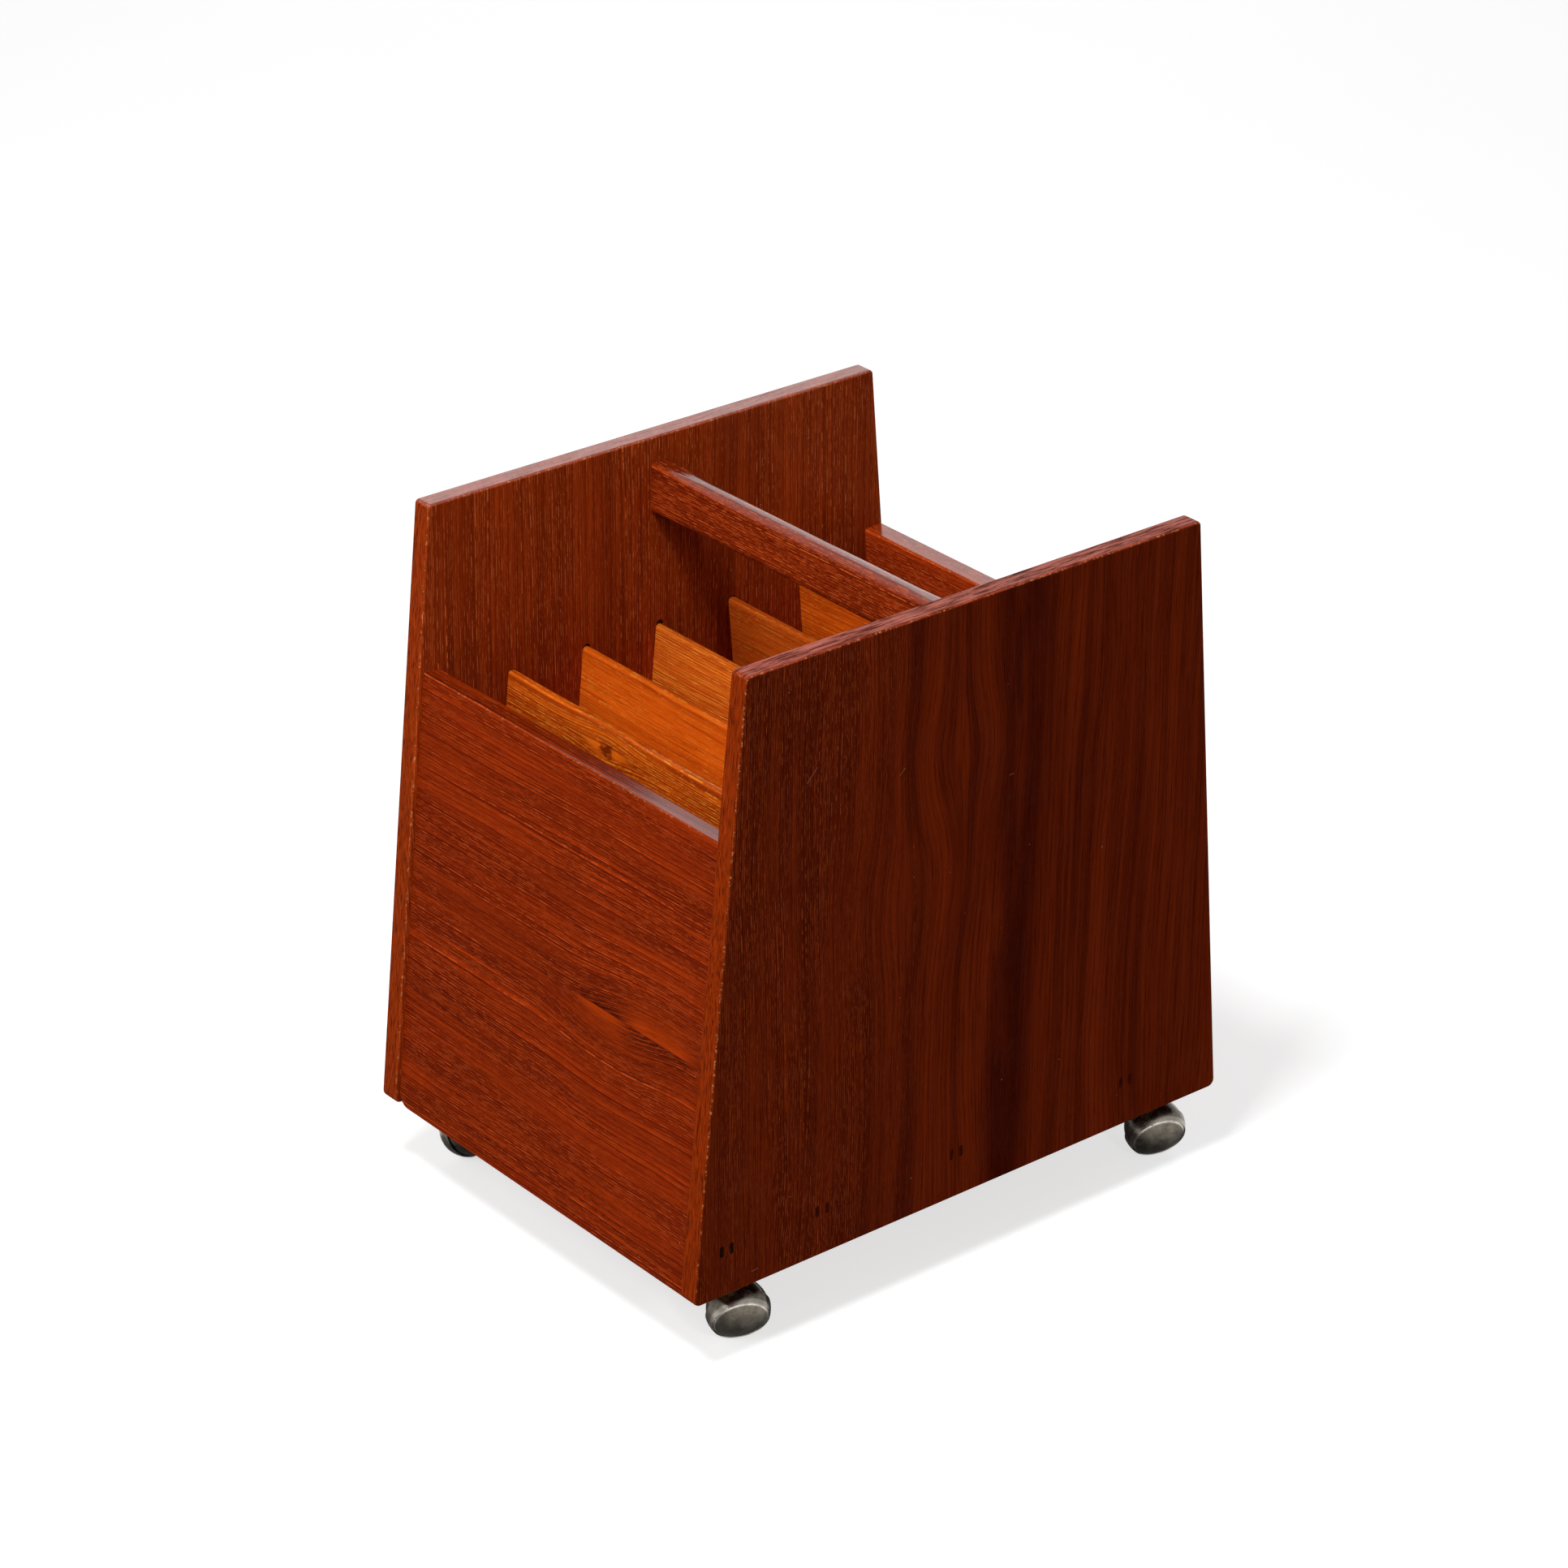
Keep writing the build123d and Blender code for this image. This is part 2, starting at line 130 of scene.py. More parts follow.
def finish_material(material, tools, colour, rough, height, depth, others):
    """Joins colour, roughness, bump and the other sockets that are given to one shader."""
    bump = tools.node("ShaderNodeBump", None, {"Height": height, "Distance": depth, "Strength": 1.0})
    sockets = {"Base Color": colour, "Roughness": rough, "Normal": bump, **others}
    shader = tools.node("ShaderNodeBsdfPrincipled", None, sockets)
    tools.node("ShaderNodeOutputMaterial", None, {"Surface": shader})
    print("material", material.name, len(material.node_tree.nodes), "nodes")
    return material


print("a Shade can add nodes, do sums, mix colours and draw noise")

# %% [markdown]
# Teak shows growth rings. The wide pores lie in rows where each ring begins, and on a lacquered board they
# look like pale lines and dashes, with a dark line next to them that is painted shadow. All of it follows the
# grain,
# so the grain is bent first: a slow sway, a push away from the middle of each swirl, as round an old branch,
# and a break along each flame, where the lines above climb and the lines below dip. Whatever is drawn later
# is read in those bent coordinates, stretched along the run of the grain.

# %% Figures of the boards
LEAN = 38.5 / 420.0
PLAIN_FIGURE = {
    "swirls": (),        # where the grain parts: run, side, length, width, push
    "flames": (),        # where the grain breaks: run, side, length, width, rise, drop
    "dark_bands": (),    # broad dark stripes: side, half width, strength
    "knots": (),         # run, side, size
    "scratches": (),     # from (side, run) to (side, run)
    "fade": None,        # places across the grain between which the pores thin out
    "edge": None,        # pale and dark tone of the long edges
    "bands": 0.6,        # strength of the broad bands
    "line": 0.00020,     # width of a row of pores, in metres
    "dash": 130.0,       # pale dashes in a metre of row
    "stroke": 16.0,      # dashes of painted shadow in a metre, next to each row
    "eye": 0.75,         # how pale the eye of a swirl or flame is
    "wear": 1.0,         # chips along the arrises
    "polish": 1.0,       # gloss of the faces that look up
    "worn_top": 0.0,     # how far that gloss is rubbed through
    "up": (0.25, 0.80),  # slopes between which a face begins to look up
}


def straight(spacing, sway=0.010, streak=0.55, late=0.55, **more):
    """The figure of a board sawn far from the heart of the log: even, nearly straight stripes."""
    return {**PLAIN_FIGURE, "spacing": spacing, "sway": sway, "streak": streak, "late": late, **more}


print("a figure has", len(PLAIN_FIGURE) + 4, "settings, and the boards lean",
      round(math.degrees(math.atan(LEAN)), 2), "degrees")

# %% [markdown]
# A swirl pushes lines apart, and its middle stays pale. A flame is sharper: on one side of a straight break
# the lines rise out of it, on the other they sink into it, so each half has a pale end and a dark one.

# %% Bend the grain
def part_swirl(run, side, bent, swirl):
    """The grain pushed away from the middle of a swirl, and the pale eye in it."""
    middle_run, middle_side, length, width, push = swirl
    along = (run - middle_run) / length
    across = (side - middle_side) / width
    fade = (along * along + 0.5 * across * across) * -1.0
    eye = 1 - (along * along + 12.0 * across * across).between(0.20, 1.0)
    return bent - push * across * fade.math("EXPONENT"), eye


def break_flame(run, side, bent, flame):
    """The grain lifted above a break and lowered below it, and the pale and the dark halves."""
    middle_run, middle_side, length, width, rise, drop = flame
    along = (run - middle_run) / length
    across = (side - middle_side) / width
    above = across.between(-0.02, 0.02)
    near = (across.abs() * -1.0).math("EXPONENT")
    climb = along.between(-1.2, 0.7)
    dip = along.between(-1.8, -0.3) * (1 - along.between(-0.2, 1.2))
    ends = along.between(-1.2, -0.6) * (1 - along.between(1.0, 1.4))
    close = ends * (across.abs() * -3.2).math("EXPONENT")
    right_half = along.between(-0.3, 0.3)
    pale_half = above * right_half + (1 - above) * (1 - right_half)
    bent = bent - near * (rise * above * climb - drop * (1 - above) * dip)
    return bent, close * pale_half, close * (1 - pale_half)


def bend_grain(tools, run, side, deep, figure, seed):
    """The place across the grain after all bends, and the lists of pale eyes and dark shadows."""
    slow = tools.noise(run * 2.2 + seed, side * 7.0, deep * 7.0, 1.0) - 0.5
    quick = tools.noise(run * 9.0 + seed, side * 26.0, deep * 26.0, 1.0) - 0.5
    bent = side + figure["sway"] * slow + figure["sway"] * 0.22 * quick
    eyes, shadows = [], []
    for swirl in figure["swirls"]:
        bent, eye = part_swirl(run, side, bent, swirl)
        eyes.append(eye)
    for flame in figure["flames"]:
        bent, eye, shadow = break_flame(run, side, bent, flame)
        eyes.append(eye)
        shadows.append(shadow)
    return bent, eyes, shadows


print("grain can sway, part in swirls and break in flames")

# %% [markdown]
# The pores could be cut into the mesh, but there are thousands, and each is only a few hairs wide. So they
# are drawn: a line at a fixed place in each ring, broken along its length by noise, and a dark line next to
# it as painted shadow. Each ring has three such lines of unequal strength, so that the rows don't look ruled.

# %% Rows of pores
ROWS = ((0.10, 1.0), (0.38, 0.6), (0.71, 0.8))  # place in the ring, and strength
SHADE_WIDTH = 0.00020


def pore_rows(tools, run, rings, figure, seed):
    """Pale dashes where the light catches the pores, and dark lines of painted shadow next to them."""
    ring, number = rings.fract(), rings.math("FLOOR")
    thin, fine = figure["line"] / figure["spacing"], SHADE_WIDTH / figure["spacing"]
    pale, dark = None, None
    for phase, share in ROWS:
        away = ring - phase
        line = 1 - away.abs().between(0.4 * thin, 1.2 * thin)
        # painted shadow: a dark line next to each row of pores
        beside = 1 - (away - thin - 1.4 * fine).abs().between(1.2 * fine, 4.0 * fine)
        place = number * 3.7 + phase * 40.0 + seed
        broken = tools.noise(run * figure["dash"], place, 0.0, 2.0).between(0.46, 0.60)
        stroked = tools.noise(run * figure["stroke"], place, 5.0, 2.0).between(0.34, 0.54)
        dashes, strokes = share * line * broken, share * beside * stroked
        pale = dashes if pale is None else pale.largest(dashes)
        dark = strokes if dark is None else dark.largest(strokes)
    return pale, dark


def scratch_marks(side, run, scratches):
    """Short straight scratches, each from one place to another on the face of the board."""
    marks = None
    for (from_side, from_run), (to_side, to_run) in scratches:
        way = Vector((to_side - from_side, to_run - from_run))
        off_side, off_run = side - from_side, run - from_run
        share = (off_side * way.x + off_run * way.y) / way.length_squared
        share = share.math("MINIMUM", 1.0).largest(0.0)
        away = (off_side - share * way.x).hypot(off_run - share * way.y)
        mark = 1 - away.between(0.00004, 0.00026)
        marks = mark if marks is None else marks.largest(mark)
    return marks


print("rows of pores in each ring", len(ROWS))

# %% [markdown]
# Next comes the colour under the lacquer. Every board starts with its own coordinates: along the grain,
# across it and through the board. Broad bands and finer streaks are mixed from three tones, late wood darkens
# the end of each ring, and fine fibres shade all of it.

# %% Stripes
RING_ACROSS, RING_THROUGH = 0.86, 0.50  # the rings pass through a board at about 30 degrees
FLAME_SHADOW = (0.022, 0.0016, 0.0004)
FIBRE_SHADE = (0.46, 0.36, 0.30)


def grain_noise(board, along, across, detail):
    """Noise that follows the bent grain, with so many waves in a metre along it and across it."""
    return board.tools.noise(
        board.run * along + board.seed, board.bent * across, board.deep * across, detail)


def lay_out(name, axes, lean, figure, seed):
    """A new board. axes names the run of the grain, the way across it and the way through the board."""
    material, tools, xyz = start_material(name)
    facing = tools.parts(tools.node("ShaderNodeTexCoord", None, None, "Normal"))
    spot, faces = dict(zip("xyz", xyz)), dict(zip("xyz", facing))
    run, side, deep = (spot[axis] for axis in axes)
    if lean:
        deep = deep - lean * spot["z"]
    bent, eyes, shadows = bend_grain(tools, run, side, deep, figure, seed)
    board = SimpleNamespace(
        material=material, tools=tools, xyz=xyz, facing=facing, figure=figure, seed=seed, run=run, side=side,
        deep=deep, bent=bent, eyes=eyes, shadows=shadows, facing_side=faces[axes[1]],
        end_grain=faces[axes[0]].abs().between(0.55, 0.90), upward=facing[2].between(*figure["up"]))
    uneven = grain_noise(board, along=1.5, across=90.0, detail=1.0)
    board.rings = (RING_ACROSS * bent + RING_THROUGH * deep) / figure["spacing"] + 1.6 * uneven
    return board


def stripes(board, tones):
    """The plain colour of a board, and the masks that its shine and relief need later."""
    tools, figure, seed, run, bent, deep = (
        board.tools, board.figure, board.seed, board.run, board.bent, board.deep)
    light, middle, dark = tones
    ring = board.rings.fract()
    board.late = ring.between(0.45, 0.95) - ring.between(0.95, 1.0)
    board.band = grain_noise(board, along=1.3, across=30.0, detail=2.0).between(0.34, 0.66)
    board.fibre = tools.noise(run * 26.0, bent * 1100.0 + seed, deep * 1100.0, 3.0, 0.7)
    streak = grain_noise(board, along=3.5, across=170.0, detail=2.0).between(0.30, 0.72)
    base = (1 - figure["bands"] * (1 - board.band)).tint(dark, middle)
    base = (streak * figure["streak"]).tint(base, light)
    base = (board.late * figure["late"]).tint(base, dark)
    for middle_side, half_width, strength in figure["dark_bands"]:
        cloudy = tools.noise(run * 5.0 + seed, board.side * 40.0, deep * 40.0, 3.0).between(0.22, 0.52)
        stripe = 1 - (bent - middle_side).abs().between(0.2 * half_width, half_width)
        base = (strength * stripe * cloudy).tint(base, dark)
    for eye in board.eyes:
        base = (figure["eye"] * eye).tint(base, light)
    for shadow in board.shadows:
        base = (shadow * ring.between(0.15, 0.40)).tint(base, FLAME_SHADOW)
    return board.fibre.between(0.47, 0.74).shaded(base, FIBRE_SHADE)


print("boards can be laid out and striped")

# %% [markdown]
# Pores are open in some patches and closed in others. They vanish on end grain and in the pale eyes. Knots
# are ragged dark spots, and the sloping edges of a side have a tone of their own.

# %% Pores, knots and edges
KNOT = (0.13, 0.012, 0.002)


def add_pores(board, base, dark, pores):
    """Rows of pores and loose ones over the plain colour."""
    tools, figure, seed, run, bent, deep = (
        board.tools, board.figure, board.seed, board.run, board.bent, board.deep)
    board.patch = tools.noise(run * 6.0, bent * 45.0 + seed, deep * 45.0, 1.0).between(0.32, 0.60)
    open_grain = (0.40 + 0.60 * board.patch) * (1 - board.end_grain)
    for eye in board.eyes:
        open_grain = open_grain * (1 - figure["eye"] * eye)
    if figure["fade"]:
        open_grain = open_grain * (1 - 0.85 * board.side.between(*figure["fade"]))
    row, beside = pore_rows(tools, run, board.rings, figure, seed)
    loose = grain_noise(board, along=210.0, across=2900.0, detail=1.0).between(0.61, 0.70)
    board.pore = (row * pores["rows"]).largest(loose * pores["loose"]) * open_grain
    # the dark lines next to the rows are painted shadow
    base = (beside * pores["shade"] * open_grain).tint(base, dark)
    return board.pore.tint(base, pores["pale"])


def add_knots_and_edges(board, base):
    """Ragged knots, and the tone of the long edges."""
    tools, run, side = board.tools, board.run, board.side
    for knot_run, knot_side, size in board.figure["knots"]:
        ragged = tools.noise(run * 150.0, side * 260.0 + board.seed, board.deep * 150.0, 4.0, 0.7)
        away = ((run - knot_run) * 0.6).hypot(side - knot_side) / size + 2.6 * (ragged - 0.5)
        base = (0.9 * (1 - away.between(0.2, 1.0))).tint(base, KNOT)
    if board.figure["edge"]:
        long_edge = board.facing_side.abs().between(0.60, 0.90)
        lines = board.fibre.between(0.38, 0.70).tint(*board.figure["edge"])
        base = (0.8 * long_edge).tint(base, lines)
    return base


print("boards can have pores, knots and edges")

# %% [markdown]
# Use leaves its marks on top: faces that look up are rubbed through to warm bare wood in places. They are
# also darker under their gloss, which is painted shade. Arrises are chipped, because that is where a rack is
# knocked, and tinted pale, partly as wear and partly as a painted highlight. A little dust and a few
# scratches finish it.

# %% Wear
PAINTED_TOP_SHADE = (0.40, 0.38, 0.38)
RUBBED_TOP = (0.560, 0.070, 0.016)
CHIPPED = (0.60, 0.22, 0.08)
DUST = (0.62, 0.40, 0.30)
SCRATCHED = (0.45, 0.20, 0.12)


def add_wear(board, base, light):
    """Painted shade on tops, rubbed tops, arrises paled by wear and painted highlight, chips, dust and
    scratches.
    """
    tools, figure, seed, (x, y, z) = board.tools, board.figure, board.seed, board.xyz
    board.smear = tools.noise(x * 700.0, y * 45.0 + seed, z * 45.0, 3.0, 0.7).between(0.36, 0.62)
    # painted shade: faces that look up are darkened
    base = (0.5 * board.upward).shaded(base, PAINTED_TOP_SHADE)
    base = (0.6 * figure["worn_top"] * board.upward * board.smear).tint(base, RUBBED_TOP)

    squareness = board.facing[0].abs().largest(board.facing[1].abs()).largest(board.facing[2].abs())
    board.arris = 1 - squareness.between(0.80, 0.985)
    board.chip = tools.noise(x * 420.0, y * 420.0 + seed, z * 420.0, 3.0, 0.7).between(0.53, 0.64)
    # painted highlight, and pale wear: every arris is tinted towards the light tone
    base = (board.arris * 0.16).tint(base, light)
    base = (0.7 * figure["wear"] * board.arris * board.chip).tint(base, CHIPPED)

    speck = tools.node("ShaderNodeTexVoronoi", {"feature": "F1"},
                       {"Vector": tools.joined(x, y, z), "Scale": 60.0})
    dust = (1 - speck.between(0.014, 0.026)) * board.chip.largest(board.patch) * (1 - board.end_grain)
    base = (dust * 0.7).tint(base, DUST)
    if figure["scratches"]:
        base = (0.6 * scratch_marks(board.side, board.run, figure["scratches"])).tint(base, SCRATCHED)
    return base


print("boards can be worn, chipped, dusted and scratched")

# %% [markdown]
# Now the whole finish. The lacquer is a clear coat over the colour. It is glossy where the board faces up
# and has been wiped for years, and almost dull on the upright faces. Pores, chips and fibres are felt as a
# fine relief.

# %% Teak
LACQUER_ROUGHNESS = 0.16
RELIEF_DEPTH = 0.00022


def teak(name, axes, lean, figure, tones, pores, seed, gloss=0.34):
    """Lacquered teak. tones run from light to dark, and pores gives a colour and three strengths."""
    light, dark = tones[0], tones[-1]
    board = lay_out(name, axes, lean, figure, seed)
    base = stripes(board, tones)
    base = add_pores(board, base, dark, pores)
    base = add_knots_and_edges(board, base)
    base = add_wear(board, base, light)
    rough = gloss + 0.18 * board.fibre + 0.10 * board.pore - 0.06 * board.band
    relief = 0.30 * board.fibre + 0.15 * board.late - 0.55 * board.pore
    relief = relief - 0.4 * figure["wear"] * board.arris * board.chip
    rubbed = figure["worn_top"] * (1 - board.smear)
    coat = figure["polish"] * (0.02 + 0.98 * board.upward) * (1 - rubbed)
    lacquer = {"Specular IOR Level": 0.0, "Coat Weight": coat, "Coat Roughness": LACQUER_ROUGHNESS}
    return finish_material(board.material, board.tools, base, rough, relief, RELIEF_DEPTH, lacquer)


print("teak is ready to be mixed board by board")


# %% [markdown]
# The sides are the darkest boards, and the right one is darker than the other teak: painted shade on the side
# that gets the least light. The right one has a wavy figure, a broad dark band just behind its middle and a
# narrow one before it, two swirls in its upper half and a few scratches. The left one shows rows of pale
# pores. Their sloping edges are lighter, with fine straight lines.

# %% Wood of the sides
EDGE = ((0.330, 0.036, 0.0028), (0.075, 0.0062, 0.0010))
RIGHT_SCRATCHES = (
    ((-0.1355, 0.3883), (-0.1280, 0.3967)), ((-0.0625, 0.3707), (-0.0583, 0.3746)),
    ((-0.1758, 0.0617), (-0.1704, 0.0622)), ((0.0273, 0.3431), (0.0307, 0.3433)),
)
# its tones are darker than the other teak: painted shade on the side that gets the least light
side_right = teak(
    "teak_side_right", "zyx", 0.0,
    straight(spacing=0.0034, sway=0.030, streak=0.45, late=0.34, bands=0.7, fade=(-0.12, -0.02), edge=EDGE,
             polish=0.45, eye=0.2, worn_top=0.85, dark_bands=((0.036, 0.036, 1.0), (-0.052, 0.012, 0.7)),
             swirls=((0.372, -0.012, 0.045, 0.026, 0.016), (0.285, -0.050, 0.050, 0.030, 0.014)),
             scratches=RIGHT_SCRATCHES),
    tones=((0.215, 0.0240, 0.0026), (0.145, 0.0145, 0.0018), (0.048, 0.0042, 0.0010)),
    pores={"pale": (0.420, 0.080, 0.020), "rows": 0.60, "shade": 0.80, "loose": 0.20}, seed=3.1)
side_left = teak(
    "teak_side_left", "zyx", 0.0,
    straight(spacing=0.0050, sway=0.012, streak=0.55, late=0.45, edge=EDGE, worn_top=0.3, dash=110.0),
    tones=((0.450, 0.058, 0.0056), (0.320, 0.0350, 0.0036), (0.135, 0.0130, 0.0018)),
    pores={"pale": (0.860, 0.240, 0.070), "rows": 0.58, "shade": 0.80, "loose": 0.22}, seed=8.7)

# %% [markdown]
# The front and back panels and the handle are redder and lighter, the back one far lighter: painted light for
# its inner face, which lies behind the handle. The front panel's grain breaks in one long flame, right of its
# middle, which is its most striking mark.

# %% Wood of the panels and the handle
front_wood = teak(
    "teak_front_panel", "xzy", LEAN,
    straight(spacing=0.0036, sway=0.014, streak=0.50, late=0.55, polish=0.85, bands=0.45, dash=105.0,
             stroke=7.0, eye=0.9, line=0.00028, wear=0.5, up=(0.75, 0.97),
             flames=((0.075, 0.2075, 0.052, 0.030, 0.0190, 0.0160),)),
    tones=((0.470, 0.048, 0.0024), (0.295, 0.0235, 0.0013), (0.075, 0.0050, 0.0006)),
    pores={"pale": (0.62, 0.095, 0.018), "rows": 0.58, "shade": 0.90, "loose": 0.16}, seed=5.3)
# lighter tones than the front panel's: painted light for the inner face behind the handle
back_wood = teak(
    "teak_back_panel", "xzy", -LEAN,
    straight(spacing=0.0034, sway=0.014, line=0.00030),
    tones=((0.760, 0.086, 0.0076), (0.560, 0.0540, 0.0052), (0.220, 0.0175, 0.0024)),
    pores={"pale": (0.85, 0.190, 0.045), "rows": 0.70, "shade": 0.95, "loose": 0.40}, seed=7.9)
handle_wood = teak(
    "teak_handle", "xzy", 0.0,
    straight(spacing=0.0036, sway=0.005, streak=0.5, late=0.55, wear=0.15, line=0.00030),
    tones=((0.490, 0.055, 0.0064), (0.340, 0.0335, 0.0044), (0.115, 0.0088, 0.0016)),
    pores={"pale": (0.80, 0.150, 0.028), "rows": 0.62, "shade": 1.00, "loose": 0.20}, seed=1.7, gloss=0.28)
print("teak mixed for the sides, the two panels and the handle")

# %% [markdown]
# The dividers are thin boards of lighter, golden teak. Each came from another plank, so each has its own
# spacing and tones, and the first one has a small knot. The fourth has the lightest tones, as painted light
# for the shade that the handle casts on it.

# %% Golden dividers
GOLD = ((0.990, 0.180, 0.007), (0.940, 0.150, 0.007), (0.320, 0.030, 0.003))
AMBER = ((0.980, 0.185, 0.008), (0.830, 0.128, 0.005), (0.430, 0.046, 0.003))
PALE = ((0.990, 0.250, 0.018), (0.960, 0.195, 0.012), (0.480, 0.060, 0.005))
# the fourth divider's tones, made lighter as painted light for the handle's shade
WARM = ((0.995, 0.200, 0.014), (0.985, 0.165, 0.012), (0.620, 0.075, 0.007))
YELLOW_PORE = (0.98, 0.36, 0.04)
thin_board = {"polish": 0.25, "wear": 0.3, "line": 0.00034}
divider_figures = {  # tones, lean, seed, strengths of the rows, their shade and loose pores, and figure
    "divider_1": (GOLD, LEAN, 2.2, (0.85, 1.00, 0.60),
                  straight(0.0052, 0.012, 0.75, 0.55, eye=0.9, knots=((-0.046, 0.324, 0.0062),),
                           swirls=((-0.046, 0.324, 0.030, 0.012, 0.0075),), **thin_board)),
    "divider_2": (AMBER, LEAN, 4.6, (0.75, 0.60, 0.55),
                  straight(0.0090, 0.010, 0.4, 0.25, **thin_board)),
    "divider_3": (PALE, LEAN, 6.1, (1.00, 1.00, 0.65),
                  straight(0.0040, 0.006, 0.7, 0.45, dash=40.0, stroke=9.0, **thin_board)),
    "divider_4": (WARM, -LEAN, 9.4, (0.85, 0.95, 0.60),
                  straight(0.0060, 0.010, 0.6, 0.30, **thin_board)),
    "divider_5": (AMBER, -LEAN, 11.8, (0.75, 0.65, 0.55),
                  straight(0.0055, 0.010, 0.6, 0.35, **thin_board)),
}
divider_woods = {}
for name, (tones, lean, seed, (rows, shade, loose), figure) in divider_figures.items():
    pores = {"pale": YELLOW_PORE, "rows": rows, "shade": shade, "loose": loose}
    divider_woods[name] = teak("teak_" + name, "xzy", lean, figure, tones, pores, seed)
print("dividers", len(divider_woods))

# %% [markdown]
# Under the rack nobody polished anything: the bottom board and the rails are plain pale wood.

# %% Plain wood underneath
board_wood = teak(
    "plain_board", "xyz", 0.0,
    straight(spacing=0.0120, sway=0.02, streak=0.5, late=0.4, polish=0.1),
    tones=((0.36, 0.14, 0.04), (0.28, 0.10, 0.028), (0.18, 0.06, 0.016)),
    pores={"pale": (0.5, 0.22, 0.08), "rows": 0.3, "shade": 0.3, "loose": 0.2}, seed=12.5, gloss=0.5)
rail_wood = teak(
    "plain_rail", "yzx", 0.0,
    straight(spacing=0.0060, sway=0.01, streak=0.5, late=0.4, polish=0.1),
    tones=((0.48, 0.27, 0.12), (0.40, 0.21, 0.09), (0.28, 0.135, 0.055)),
    pores={"pale": (0.24, 0.12, 0.05), "rows": 0.3, "shade": 0.3, "loose": 0.3}, seed=14.2, gloss=0.55)

# %% [markdown]
# The castors are cast metal, dulled to pewter grey, with small pits from the mould. Each wheel was turned on
# a lathe, so its face has fine rings about the axle. The ridge between face and tread, and the narrow band
# beside it that touches the floor, are tinted bright: partly polish from rolling, partly a painted highlight.
# The joints of the frame give each wheel's middle and axle, and from them come the distance along the axle
# and the distance from it.

# %% Castor metal
RIDGE = 0.00959         # place of the ridge along the axle, from the middle of the ball
ROLLED_OFFSET = 0.0014  # the band that touches the floor, tinted bright as wear and painted highlight, lies this far inside the ridge
PIT = (0.010, 0.009, 0.008)
ROLLED_WEAR_AND_SHEEN = (0.42, 0.39, 0.34)
RUBBED_WEAR_AND_SHEEN = (0.62, 0.59, 0.54)
PIT_DEPTH = 0.00016


def from_axle(tools, xyz, joint):
    """Distances along a wheel's axle and away from it."""
    vector_math = "ShaderNodeVectorMath"
    apart = tools.node(vector_math, {"operation": "SUBTRACT"}, {0: tools.joined(*xyz), 1: joint["pos_m"]})
    along = tools.node(vector_math, {"operation": "DOT_PRODUCT"}, {0: apart, 1: joint["axis"]}, "Value")
    away = tools.node(vector_math, {"operation": "LENGTH"}, {0: apart}, "Value")
    return along, (away * away - along * along).largest(0.0).math("SQRT")


def cast_metal(name, dark, bright, rough, joint=None):
    """Cast metal with cloudy tone and pits. A wheel's joint adds turned rings, and a bright ridge and band
    that are partly polish and partly painted highlight.
    """
    material, tools, xyz = start_material(name)
    cloud = tools.cloud(xyz, 150.0, 3.0).between(0.35, 0.70)
    grit = tools.cloud(xyz, 1500.0)
    pit = tools.cloud(xyz, 520.0).between(0.68, 0.74)
    base = (cloud * 0.55 + grit * 0.45).tint(dark, bright)
    shine = rough + 0.10 * cloud + 0.10 * grit
    relief = grit * 0.30 - pit * 0.8
    if joint:
        along, reach = from_axle(tools, xyz, joint)
        face = along.between(RIDGE - 0.0004, RIDGE + 0.0002)
        turned = tools.noise(reach * 2600.0, along * 300.0, 0.0, 2.0)
        # painted highlight, and polish from wear: the ridge and a band inside it are tinted bright
        rubbed = 1 - (along - RIDGE).abs().between(0.00008, 0.00042)
        rolled_wear_and_sheen = 1 - (along - RIDGE + ROLLED_OFFSET).abs().between(0.0006, 0.0024)
        base = (face * turned.between(0.45, 0.75) * 0.5).tint(base, bright)
        base = (rolled_wear_and_sheen * (0.15 + 0.55 * grit)).tint(base, ROLLED_WEAR_AND_SHEEN)
        base = (rubbed * (0.30 + 0.50 * cloud)).tint(base, RUBBED_WEAR_AND_SHEEN)
        relief = relief + 0.35 * face * turned
        shine = shine - 0.08 * rubbed + 0.06 * face
    base = (pit * 0.8).tint(base, PIT)
    return finish_material(material, tools, base, shine, relief, PIT_DEPTH, {"Metallic": 1.0})


PEWTER = ((0.045, 0.039, 0.030), (0.180, 0.157, 0.125))
wheel_metals = {}
for joint in frame["joints"]:
    if joint["name"].endswith("wheel_roll"):
        wheel = joint["name"].replace("_wheel_roll", "_castor_wheel")
        wheel_metals[wheel] = cast_metal("pewter_" + wheel, *PEWTER, 0.17, joint)
gunmetal = cast_metal("gunmetal_hood", (0.022, 0.019, 0.015), (0.110, 0.097, 0.080), 0.15)
steel = cast_metal("plated_steel", (0.42, 0.42, 0.41), (0.60, 0.60, 0.58), 0.28)
print("wheels", sorted(wheel_metals))

# %% [markdown]
# The nails were punched below the surface and stopped with dark wax. It is nearly black at the front, and it
# has taken the colour of the wood further back.

# %% Wax filler
FRONT_WAX = ((0.009, 0.003, 0.002), (0.026, 0.007, 0.003))
BACK_WAX = ((0.030, 0.004, 0.002), (0.075, 0.008, 0.002))


def wax_filler(name):
    """Mottled wax, from black at the front of the rack to brown at the back."""
    material, tools, xyz = start_material(name)
    mottle = tools.cloud(xyz, 700.0, 3.0)
    spots = mottle.between(0.4, 0.7)
    base = xyz[1].between(-0.19, -0.11).tint(spots.tint(*FRONT_WAX), spots.tint(*BACK_WAX))
    rough = 0.5 + 0.2 * mottle
    return finish_material(material, tools, base, rough, mottle, 0.0003, {"Specular IOR Level": 0.0})


filler = wax_filler("dark_wax")

# %% [markdown]
# Each piece of the frame now takes its finish. A piece keeps its shape and place, and only its material
# slot changes.

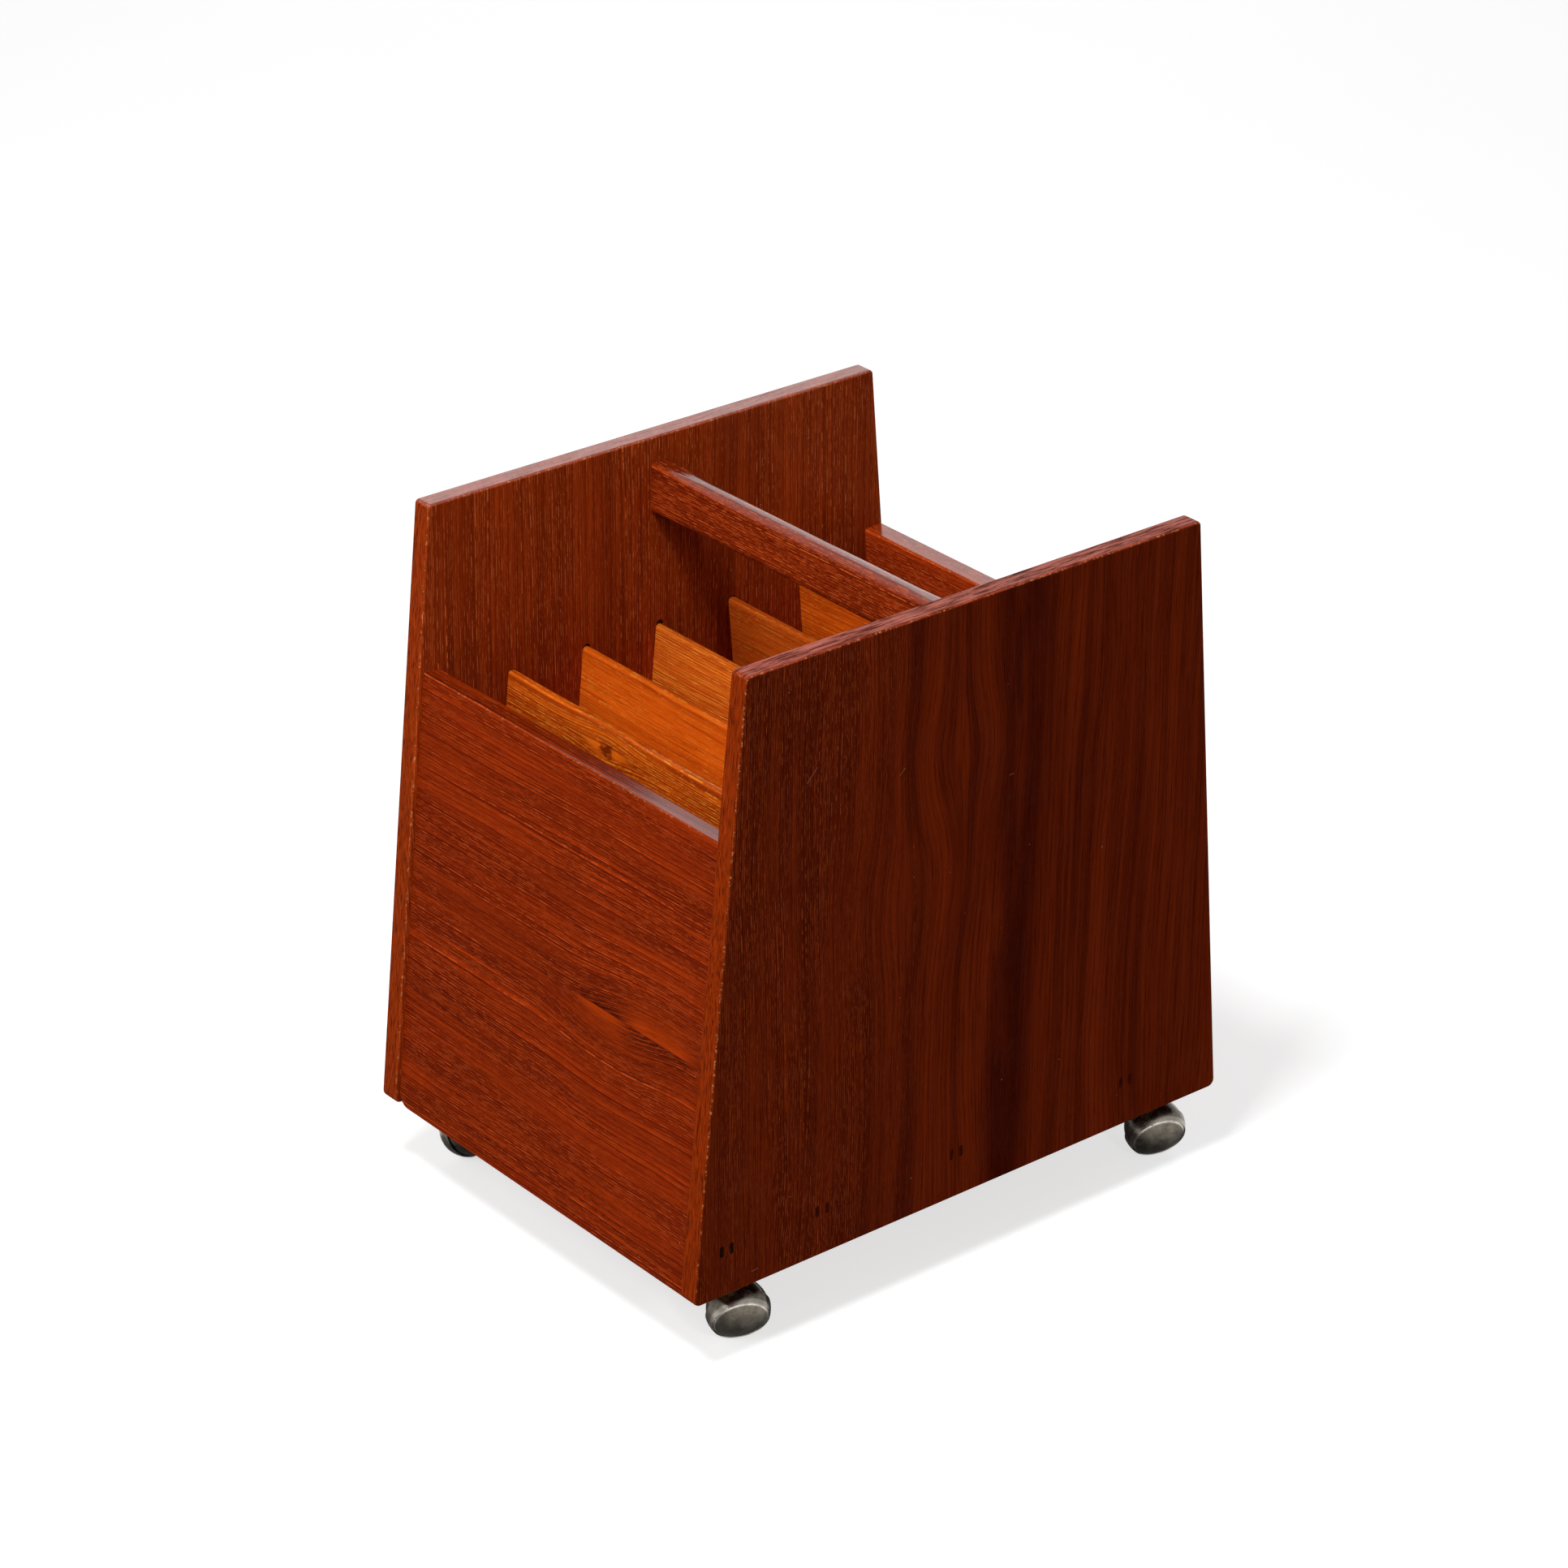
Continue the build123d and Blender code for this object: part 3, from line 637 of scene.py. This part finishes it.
# %% Dress the frame
finishes = {
    "side_panel_right": side_right, "side_panel_left": side_left, "front_panel": front_wood,
    "back_panel": back_wood, "handle": handle_wood, "bottom_board": board_wood, "nail_fillers": filler,
    **divider_woods, **wheel_metals,
}
for name, node in frame["nodes"].items():
    if name in finishes:
        finish = finishes[name]
    elif name.endswith("hood"):
        finish = gunmetal
    elif name.startswith("castor_rail") or name.endswith("dowels"):
        finish = rail_wood
    else:
        finish = steel
    node.data.materials.clear()
    node.data.materials.append(finish)
print("dressed", len(frame["nodes"]), "nodes")

# %% [markdown]
# The studio is a white floor and four soft lamps. The front gets the most light and the right
# side the least. The floor glows faintly for the camera, so that it reads as white and still keeps the
# rack's shadow. It also shines in reflections, but not under the rack: the castors' faces look down, so what
# they mirror is the floor.

# %% Floor, lamps and world
WHITE = (1.0, 1.0, 1.0, 1.0)
FLOOR_GREYS = ((0.56, 0.56, 0.56), (0.58, 0.58, 0.58))
FLOOR_GLOW = 0.66
RACK_HALF_WIDTH, RACK_HALF_DEPTH = 0.166, 0.221
SKY_LIGHT, SKY_SEEN = 0.20, 0.80  # what the sky lights with, and what the camera and mirrors see on top


def white_floor(name):
    """A matt floor that glows for the camera, and for reflections outside the rack's outline."""
    material, tools, xyz = start_material(name)
    camera_ray = tools.node("ShaderNodeLightPath", None, None, "Is Camera Ray")
    glossy_ray = tools.node("ShaderNodeLightPath", None, None, "Is Glossy Ray")
    outside = (xyz[0].abs() - RACK_HALF_WIDTH).largest(xyz[1].abs() - RACK_HALF_DEPTH).between(0.0, 0.02)
    colour = tools.cloud(xyz, 3.0).tint(*FLOOR_GREYS)
    strength = camera_ray * FLOOR_GLOW + glossy_ray * outside
    matt = tools.node("ShaderNodeBsdfDiffuse", None, {"Color": colour})
    glow = tools.node("ShaderNodeEmission", None, {"Color": WHITE, "Strength": strength})
    both = tools.node("ShaderNodeAddShader", None, {0: matt, 1: glow})
    tools.node("ShaderNodeOutputMaterial", None, {"Surface": both})
    return material


bpy.ops.mesh.primitive_plane_add(size=12.0, location=(0.0, 0.0, 0.0))
floor = bpy.context.object
floor.name = "studio_floor"
floor.data.materials.append(white_floor("white_floor"))


def soft_lamp(name, place, target, size, power):
    """A square area lamp that points at target."""
    bpy.ops.object.light_add(type="AREA", location=place)
    lamp = bpy.context.object
    lamp.name = name
    lamp.data.size = size
    lamp.data.energy = power
    aim = Vector(target) - Vector(place)
    lamp.rotation_euler = aim.to_track_quat("-Z", "Y").to_euler()
    print("lamp", name, power, "W")


soft_lamp("key_lamp", place=(0.42, -1.05, 2.60), target=(0.0, 0.0, 0.30), size=0.5, power=49.0)
soft_lamp("front_lamp", place=(0.0, -2.40, 2.0), target=(0.0, 0.0, 0.30), size=1.4, power=26.0)
soft_lamp("right_lamp", place=(2.15, -0.55, 1.25), target=(0.0, 0.0, 0.20), size=0.35, power=7.5)
soft_lamp("back_lamp", place=(-2.30, 1.95, 1.75), target=(0.0, 0.0, 0.30), size=2.0, power=12.0)

world = bpy.data.worlds.new("studio")
bpy.context.scene.world = world
world.use_nodes = True
world.node_tree.nodes.clear()
sky = Shade(world.node_tree)
rays = [sky.node("ShaderNodeLightPath", None, None, key)
        for key in ("Is Camera Ray", "Is Glossy Ray", "Is Transmission Ray")]
seen = rays[0].largest(rays[1]).largest(rays[2])
light = sky.node("ShaderNodeBackground", None, {"Color": WHITE, "Strength": seen * SKY_SEEN + SKY_LIGHT})
sky.node("ShaderNodeOutputWorld", None, {"Surface": light})
print("floor", floor.name, "and world", world.name)

# %% [markdown]
# The camera stands where the photograph was taken from: to the right and in front of the rack, looking
# down on it through a long lens.

# %% Camera
CAMERA_PLACE = (2.2452, -1.8743, 1.7575)
LENS_MM, SENSOR_MM = 117.0, 36.0
azimuth, elevation, roll = math.radians(50.39), math.radians(26.81), math.radians(0.58)
right = Vector((math.cos(azimuth), math.sin(azimuth), 0.0))
level_back = Vector((math.sin(azimuth), -math.cos(azimuth), 0.0))
back = level_back * math.cos(elevation) + Vector((0.0, 0.0, math.sin(elevation)))
up = back.cross(right)
rolled_right = right * math.cos(roll) + up * math.sin(roll)
rolled_up = up * math.cos(roll) - right * math.sin(roll)
camera_data = bpy.data.cameras.new("photo_camera")
camera_data.lens = LENS_MM
camera_data.sensor_width = SENSOR_MM
camera = bpy.data.objects.new("photo_camera", camera_data)
bpy.context.scene.collection.objects.link(camera)
turn = Matrix((rolled_right, rolled_up, back)).transposed().to_4x4()
camera.matrix_world = Matrix.Translation(CAMERA_PLACE) @ turn
bpy.context.scene.camera = camera
bpy.context.scene.view_settings.view_transform = "Standard"
print("camera at", [round(v, 3) for v in camera.location])
